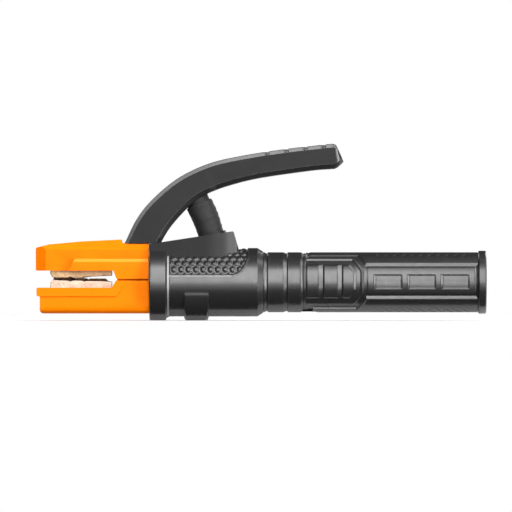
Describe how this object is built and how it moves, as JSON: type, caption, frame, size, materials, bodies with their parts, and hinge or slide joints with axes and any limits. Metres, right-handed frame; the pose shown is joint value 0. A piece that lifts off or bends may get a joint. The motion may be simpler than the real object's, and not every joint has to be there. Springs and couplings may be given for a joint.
{
  "type": "welding electrode holder",
  "caption": "Tong-style welding electrode holder: spring-loaded lever opens grooved copper jaws in heat-resistant insulators, on a tubular insulated handle that takes the cable.",
  "frame": {"origin": "centre of the cable entry's mouth at the rear end of the handle, on the handle's axis", "axes": "+X along the handle's axis, out of the cable entry; the jaws are at negative X. +Z towards the lever, +Y across the holder"},
  "size_m": [0.24, 0.0406, 0.0942],
  "materials": {
    "jaw_copper": "cast copper, worn satin",
    "cast_brass": "cast, satin",
    "bush_bronze": "turned, satin",
    "screw_steel": "zinc plated",
    "pin_steel": "ground",
    "spring_steel": "oiled",
    "grey_plastic": "satin moulded, glass filled",
    "orange_plastic": "satin moulded, heat resistant",
    "sleeve_rubber": "matt"
  },
  "bodies": {
    "holder": {"conductor_body": "cast_brass", "lower_jaw": "jaw_copper", "lower_jaw_screws": "screw_steel", "cable_socket": "cast_brass", "pivot_pin": "pin_steel", "pivot_rings": "spring_steel", "pivot_washers": "screw_steel", "head_housing": "grey_plastic", "housing_screw": "screw_steel", "handle_grip": "grey_plastic", "handle_screw": "screw_steel", "lower_jaw_insulator": "orange_plastic", "lower_insulator_screw": "screw_steel", "spring_cup": "spring_steel", "lever_spring": "spring_steel", "spring_sleeve": "sleeve_rubber"},
    "lever": {"lever_core": "cast_brass", "upper_jaw": "jaw_copper", "upper_jaw_screws": "screw_steel", "upper_jaw_insulator": "orange_plastic", "upper_insulator_screw": "screw_steel", "lever_cover": "grey_plastic", "pivot_bush": "bush_bronze"},
    "clamp_screw_front": {"clamp_screw_front": "screw_steel"},
    "clamp_screw_rear": {"clamp_screw_rear": "screw_steel"}
  },
  "joints": [
    {"name": "lever_pivot", "type": "hinge", "parent": "holder", "child": "lever", "pos_m": [-0.1745, 0, 0.012], "axis": [0, 1, 0], "range_deg": [0, 22], "stiffness_Nm_per_rad": 8, "springref_deg": -14.32, "deforming": ["lever_spring", "spring_sleeve"]},
    {"name": "clamp_screw_front_travel", "type": "slide", "parent": "holder", "child": "clamp_screw_front", "axis": [0, 0, 1], "range_m": [0, 0.004]},
    {"name": "clamp_screw_rear_travel", "type": "slide", "parent": "holder", "child": "clamp_screw_rear", "axis": [0, 0, 1], "range_m": [0, 0.004]}
  ]
}
